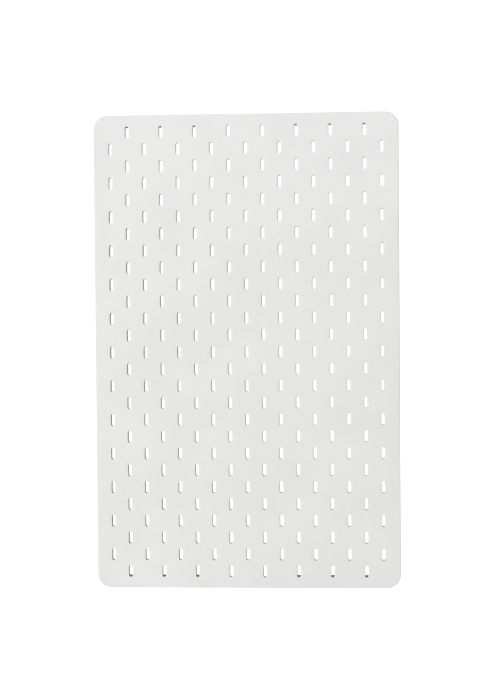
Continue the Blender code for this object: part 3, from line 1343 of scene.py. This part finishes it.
@dataclass
class Cleat(Fitting):
    """A wall plate with two channels that open upwards and two screw holes."""

    stem: str = "wall_cleat"
    slot: str = "cleat_moulding"
    half_length: float = 36 * MM
    plate: float = 2.5 * MM
    plate_fillet: float = 1.6 * MM
    plate_edge: float = 0.35 * MM
    low: float = 262 * MM
    high: float = 280 * MM
    notch_half: float = 6 * MM
    notch_top: float = 271 * MM
    channel_offset: float = 30 * MM
    channel_half: float = 6 * MM
    channel_low: float = 254 * MM
    channel_floor: float = 257 * MM
    channel_overlap: float = 1 * MM
    channel_fillet: float = 0.35 * MM
    channel_edge: float = 0.2 * MM
    lip_front: float = -8.6 * MM
    lip_back: float = -6.0 * MM
    lip_top: float = 273.2 * MM
    lip_lead: float = 0.8 * MM
    lip_slant: tuple[float, float] = (0.3 * MM, 1 * MM)
    screw_offset: float = 14 * MM
    screw_z: float = 271 * MM
    hole_radius: float = 2.25 * MM
    hole_edge: float = 0.2 * MM
    seat_radius: float = 4.3 * MM
    seat_depth: float = 0.25 * MM
    seat_edge: float = 0.1 * MM
    over: float = 2 * MM

    def plate_solid(self) -> Draft:
        """The wall plate, notched in the middle of its lower side.

        Returns:
            The closed solid.
        """
        left, right = self.pair(self.half_length)
        notch_left, notch_right = self.pair(self.notch_half)
        corners = (
            (left, self.low), (notch_left, self.low), (notch_left, self.notch_top),
            (notch_right, self.notch_top), (notch_right, self.low), (right, self.low),
            (right, self.high), (left, self.high),
        )
        outline = filleted(corners, self.plate_fillet)
        return prism(outline, -self.plate, 0.0, self.plate_edge, Axis.Y)

    def channels(self) -> list[Draft]:
        """Both channels: a J-shaped section in Y and Z carried along X, with a chamfered lip.

        Returns:
            Two closed solids.
        """
        front, back, top, lead = self.lip_front, self.lip_back, self.lip_top, self.lip_lead
        slant_y, slant_z = self.lip_slant
        joined = self.low + self.channel_overlap
        corners = (
            (0, self.channel_low), (0, joined), (-self.plate, joined),
            (-self.plate, self.channel_floor), (back, self.channel_floor), (back, top - lead),
            (back - lead, top), (front + slant_y, top), (front, top - slant_z),
            (front, self.channel_low),
        )
        section = filleted(corners, self.channel_fillet, 3)
        half = self.channel_half
        spots = self.pair(self.channel_offset)
        return [prism(section, x - half, x + half, self.channel_edge, Axis.X) for x in spots]

    def holes(self) -> list[Draft]:
        """Both screw holes with a shallow seat for each head.

        Returns:
            Two cutters for each hole.
        """
        outside = -self.plate - self.over
        seat_floor = -self.plate + self.seat_depth
        made = []
        for x in self.pair(self.screw_offset):
            hole = circle((x, self.screw_z), self.hole_radius, 32)
            seat = circle((x, self.screw_z), self.seat_radius, 40)
            made.append(prism(hole, outside, self.over, self.hole_edge, Axis.Y))
            made.append(prism(seat, outside, seat_floor, self.seat_edge, Axis.Y))
        return made

    def mesh(self) -> Mesh:
        """The plate joined to its channels, with the holes cut from it."""
        return fused(self.node, self.plate_solid(), self.channels(), self.holes())


@dataclass
class SmallFitting(Fitting):
    """A fitting that stands twice on each side, on a line along Y `offset` from the side's centre."""

    spot: Spot = Spot.INNER
    offset: float = 14 * MM
    z: float = 271 * MM
    around: int = 28

    @property
    def node(self) -> str:
        """The node that the fitting stands for."""
        return f"{self.stem}_{self.side.word}_{self.spot.word}"

    @property
    def x(self) -> float:
        """X of the fitting's line."""
        return self.side.sign * (self.centre + self.spot.sign * self.offset)


@dataclass
class Screw(SmallFitting):
    """A pan-head wood screw: a turned head with a crossed recess, and a helical thread.

    Each recess step gives, in millimetres, its depth below the crown and its arms' half sizes.
    """

    stem: str = "cleat_screw"
    slot: str = "screw_steel"
    sharp: float = 40.0
    seat: float = -2.8 * MM
    head_height: float = 2.6 * MM
    head_radius: float = 3.8 * MM
    head_rim: float = 0.15 * MM
    dome_share: float = 0.8
    dome_fullness: float = 0.85
    core_radius: float = 1.35 * MM
    core_taper: float = 0.7
    thread_radius: float = 1.9 * MM
    thread_pitch: float = 1.7 * MM
    thread_start: float = 1.0 * MM
    ridge_half: float = 0.32
    ridge_sharpness: float = 1.3
    neck_cone: float = 0.4 * MM
    rows_a_turn: int = 9
    tip: float = 30 * MM
    point_length: float = 5 * MM
    point_fade: float = 4 * MM
    recess_steps: tuple[tuple[float, float, float], ...] = (
        (-1, 2.3, 0.5), (0.2, 2.2, 0.46), (1.2, 1.3, 0.36), (1.7, 0.5, 0.3),
    )

    @property
    def crown(self) -> float:
        """Y of the head's highest point."""
        return self.seat - self.head_height

    def thread(self, angle: Array, depth: Array) -> Array:
        """The thread: a sharp ridge that climbs one pitch a turn and fades at both ends.

        Args:
            angle: Angle about the screw's line.
            depth: Y.

        Returns:
            The thread's height over the core.
        """
        phase = (depth / self.thread_pitch - angle / TURN) % 1.0
        ridge = np.clip(1 - np.abs(phase - 0.5) / self.ridge_half, 0, 1) ** self.ridge_sharpness
        fade = smoothstep(depth, self.thread_start, self.thread_start + self.thread_pitch)
        point = 1 - smoothstep(depth, self.tip - self.point_fade, self.tip)
        return ridge * fade * point * (self.thread_radius - self.core_radius)

    def turned(self) -> Draft:
        """The whole turned body, from the crown of the head to the point.

        The dome's radius is the head's times a power of sin a, at a depth of 1 - cos a. The neck
        runs as a cone into the core, which tapers to the point.

        Returns:
            The closed solid.
        """
        head, rim, start = self.head_radius, self.head_rim, self.thread_start
        angles = np.linspace(0, QUARTER, 9)[1:]
        dome_depth = self.crown + self.head_height * self.dome_share * (1 - np.cos(angles))
        step = self.thread_pitch / self.rows_a_turn
        shank_depth = np.arange(start + 0.1 * MM, self.tip - 0.05 * MM, step)
        taper = np.clip((self.tip - shank_depth) / self.point_length, 0.02, 1)
        radius = np.concatenate([
            [0.02 * MM], head * np.sin(angles) ** self.dome_fullness, [head, head - rim],
            [self.thread_radius, self.thread_radius, self.core_radius],
            self.core_radius * taper**self.core_taper, [0.01 * MM],
        ])
        depth = np.concatenate([
            [self.crown], dome_depth, [self.seat - rim, self.seat],
            [self.seat, start - self.neck_cone, start], shank_depth, [self.tip],
        ])
        return revolved(radius, depth, (self.x, self.z), self.around, self.thread)

    def recess(self) -> list[Draft]:
        """The crossed recess, as two tapered arms that narrow with depth.

        Returns:
            Two cutters.
        """
        signs = np.array(QUADRANTS[2:] + QUADRANTS[:2])
        made = []
        for order in (1, -1):
            rings = []
            for level, *halves in self.recess_steps:
                loop = signs * halves[::order] * MM + (self.x, self.z)
                rings.append(raised(loop, self.crown + level * MM, Axis.Y))
            draft = Draft()
            draft.add_rings(np.stack(rings))
            made.append(draft)
        return made

    def mesh(self) -> Mesh:
        """The turned body with the recess cut from it."""
        return fused(self.node, self.turned(), (), self.recess())


@dataclass
class Plug(SmallFitting):
    """A nylon wall plug: a split, barbed sleeve with a thin collar and two fins."""

    stem: str = "wall_plug"
    slot: str = "plug_nylon"
    sharp: float = 40.0
    around: int = 40
    bore: float = 2.25 * MM
    radius: float = 2.65 * MM
    start: float = 0.3 * MM
    end: float = 28 * MM
    collar_radius: float = 3.6 * MM
    sleeve_rows: int = 90
    barbs: int = 7
    barb_start: float = 6 * MM
    barb_height: float = 0.3 * MM
    groove_depth: float = 0.2 * MM
    groove_half: float = 0.22
    fin_start: float = 0.8 * MM
    fin_ends: tuple[float, float] = (12 * MM, 8 * MM)
    fin_half: float = 0.35 * MM
    fin_fillet: float = 0.15 * MM
    fin_edge: float = 0.1 * MM

    def swell(self, angle: Array, depth: Array) -> Array:
        """Barbs as a sawtooth along the depth, and four shallow grooves along the length.

        Args:
            angle: Angle about the plug's line.
            depth: Y.

        Returns:
            What the sleeve's radius gains, which is 0 at both of its ends.
        """
        begun = smoothstep(depth, self.barb_start - 1 * MM, self.barb_start)
        body = begun * (1 - smoothstep(depth, self.end - 1.5 * MM, self.end - 0.5 * MM))
        tooth = (depth - self.barb_start) / (self.end - self.barb_start - 1 * MM) * self.barbs % 1.0
        groove = np.clip(1 - np.abs(np.sin(2 * angle)) / self.groove_half, 0, 1)
        barb = (1 - tooth) * self.barb_height * (1 - groove)
        return body * (barb - self.groove_depth * groove)

    def sleeve(self) -> Draft:
        """The sleeve: a closed profile of bore, collar, outside and tail, turned about its line.

        Returns:
            The closed solid.
        """
        collar = self.collar_radius
        rows = np.linspace(self.start + 1.2 * MM, self.end - 0.4 * MM, self.sleeve_rows)
        profile = np.concatenate([
            [(self.bore, self.start + 0.2 * MM), (self.bore + 0.2 * MM, self.start)],
            [(collar - 0.2 * MM, self.start), (collar, self.start + 0.25 * MM)],
            [(collar, self.start + 0.7 * MM), (self.radius + 0.3 * MM, self.start + 0.9 * MM)],
            np.stack([np.full_like(rows, self.radius), rows], axis=1),
            [(self.radius - 0.15 * MM, self.end), (self.bore + 0.05 * MM, self.end)],
        ])
        return revolved(*profile.T, (self.x, self.z), self.around, self.swell, True)

    def fins(self) -> list[Draft]:
        """Two thin fins that stop the plug from turning: their section in Y and Z, carried along X.

        Returns:
            Two closed solids.
        """
        start = self.start + self.fin_start
        inner, outer = self.radius - 0.25 * MM, self.collar_radius - 0.05 * MM
        made = []
        for sign in (-1, 1):
            low, high = sorted((self.z + sign * inner, self.z + sign * outer))
            low_end, high_end = self.fin_ends[::sign]
            corners = ((start, low), (low_end, low), (high_end, high), (start, high))
            section = filleted(corners, self.fin_fillet, 2)
            made.append(prism(section, *self.pair(self.fin_half), self.fin_edge, Axis.X))
        return made

    def mesh(self) -> Mesh:
        """The sleeve joined to its fins."""
        return fused(self.node, self.sleeve(), self.fins())


@dataclass
class Pad(SmallFitting):
    """A soft round pad on the end of a spacer post."""

    stem: str = "wall_pad"
    slot: str = "pad_felt"
    body: str = "hung_panel"
    sharp: float = 50.0
    offset: float = 20 * MM
    z: float = -273.25 * MM
    around: int = 48
    radius: float = 4.0 * MM
    thickness: float = 1.6 * MM
    edge: float = 0.45 * MM
    spare: float = 0.08 * MM
    wave_height: float = 0.02 * MM

    def matted(self, angle: Array, depth: Array) -> Array:
        """The rim's uneven cut: three waves around the pad, a few hundredths of a millimetre deep.

        Args:
            angle: Angle about the pad's line.
            depth: Y.

        Returns:
            What the radius gains.
        """
        waves = np.sin(5 * angle + 1.0) + np.sin(13 * angle + 900 * depth) + np.sin(23 * angle + 2.0)
        return self.wave_height * waves

    def mesh(self) -> Mesh:
        """A disc with both rims a quarter circle, turned about its line.

        Returns:
            The finished mesh.
        """
        _, inset, depth = quarter_round(self.edge, 5)
        flat = np.linspace(0.2 * MM, self.radius - self.edge, 6)[:-1]
        half = np.concatenate([flat, self.radius - inset]) - self.spare
        rise = np.concatenate([np.zeros_like(flat), depth])
        radius = np.concatenate([half, half[::-1]])
        levels = np.concatenate([rise - self.thickness, -rise[::-1]])
        draft = revolved(radius, levels, (self.x, self.z), self.around, self.matted)
        return draft.mesh(self.node)


# ---------------------------------------------------------------------------------------------
# Camera, light and stage
# ---------------------------------------------------------------------------------------------


@dataclass(frozen=True)
class Lamp:
    """A square soft lamp: where it stands, what it points at, its side in metres and its watts."""

    name: str
    spot: Point
    aim: Point
    size: float
    power: float
    colour: Colour = (1.0, 1.0, 1.0)

    def build(self) -> None:
        """Adds the lamp, turned towards its aim and unseen by the camera."""
        data = bpy.data.lights.new(self.name, "AREA")
        data.size = self.size
        data.energy = self.power
        data.color = self.colour
        lamp = bpy.data.objects.new(self.name, data)
        lamp.visible_camera = False
        bpy.context.scene.collection.objects.link(lamp)
        direction = Vector(self.aim) - Vector(self.spot)
        lamp.rotation_euler = direction.to_track_quat("-Z", "Y").to_euler()
        lamp.location = self.spot


LAMPS = (
    Lamp("key", (-9.9, -5.7, 4.05), (0, 0, 0), 3.0, 1510.0, (0.976, 0.985, 1.0)),
    Lamp("top", (0.5, -1.2, 1.1), (0.1, 0, 0.2), 0.5, 3.4),
    Lamp("low_bounce", (-0.4, -1.2, -0.6), (-0.05, 0, -0.2), 0.6, 0.9, (1.0, 0.88, 0.40)),
    Lamp("back", (-1.5, 1.7, -0.2), (0, 0, 0), 1.0, 20.0, (1.0, 0.99, 0.98)),
)


@dataclass
class Studio:
    """The plain white setting: floor, world light, lamps and the camera.

    The camera's focal length and shifts are shares of its view's height, and its turns are in
    degrees.
    """

    board_middle: float = -17.5 * MM
    camera_x: float = 120 * MM
    camera_z: float = 40 * MM
    camera_distance: float = 1.5
    yaw: float = 3.126
    pitch: float = -1.237
    roll: float = 0.375
    focal_share: float = 1273.7 / VIEW_HEIGHT
    shift_x: float = -28.7 / VIEW_HEIGHT
    shift_y: float = 2.1 / VIEW_HEIGHT
    sensor: float = 36.0
    nearest: float = 0.05
    farthest: float = 40.0
    floor_z: float = -0.75
    floor_radius: float = 9.0
    floor_finish: StageWhite = StageWhite("stage_white", (0.62, 0.62, 0.615), 0.8)
    world_light: float = 0.25
    world_white: float = 1.1

    def add_camera(self) -> None:
        """Places the camera a little right of the panel's middle, turned slightly to the left."""
        data = bpy.data.cameras.new("camera")
        data.sensor_width = self.sensor
        data.lens = self.focal_share * self.sensor
        data.shift_x = self.shift_x
        data.shift_y = self.shift_y
        data.clip_start = self.nearest
        data.clip_end = self.farthest
        camera = bpy.data.objects.new("camera", data)
        bpy.context.scene.collection.objects.link(camera)
        turn = Matrix.Rotation(math.radians(self.roll), 4, "Y")
        turn @= Matrix.Rotation(math.radians(self.pitch), 4, "X")
        turn @= Matrix.Rotation(math.radians(self.yaw), 4, "Z")
        turn @= Matrix.Rotation(QUARTER, 4, "X")
        spot = (self.camera_x, self.board_middle - self.camera_distance, self.camera_z)
        camera.matrix_world = Matrix.Translation(spot) @ turn
        bpy.context.scene.camera = camera

    def add_floor(self) -> None:
        """A wide disc well below the panel: rings whose radius grows evenly from a closed middle."""
        radii = np.linspace(0.0, self.floor_radius, 12)
        rings = np.stack([raised(circle((0, 0), r, 64), self.floor_z, Axis.Z) for r in radii])
        draft = Draft()
        draft.add_rings(rings, caps=False)
        floor = bpy.data.objects.new("floor", draft.mesh("floor"))
        floor.data.materials.append(self.floor_finish.build())
        bpy.context.scene.collection.objects.link(floor)

    def add_world(self) -> None:
        """A white surround: full white where it is seen, and softer as a light."""
        world = bpy.data.worlds.new("surround")
        world.use_nodes = True
        bpy.context.scene.world = world
        tree = Tree(world.node_tree)
        shader = world.node_tree.nodes["Background"]
        shader.inputs["Color"].default_value = (1, 1, 1, 1)
        seen = tree.node("ShaderNodeLightPath").outputs["Is Camera Ray"]
        extra = self.world_white - self.world_light
        tree.put(shader.inputs["Strength"], tree.math("MULTIPLY_ADD", seen, extra, self.world_light))

    def build(self) -> None:
        """Builds the whole setting."""
        self.add_camera()
        self.add_floor()
        self.add_world()
        for lamp in LAMPS:
            lamp.build()
        view = bpy.context.scene.view_settings
        view.view_transform = "Standard"
        view.look = "None"


def main() -> None:
    """Loads the frame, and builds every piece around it."""
    logging.basicConfig(level=logging.INFO, format="%(name)s: %(message)s")
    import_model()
    Studio().build()
    shop = Workshop()
    Board().build(shop)
    for side in Side:
        for kind in (HangerBar, SpacerBar, Cleat):
            kind(side).build(shop)
        for spot in Spot:
            for kind in (Screw, Plug, Pad):
                kind(side, spot=spot).build(shop)


if __name__ == "__main__":
    main()
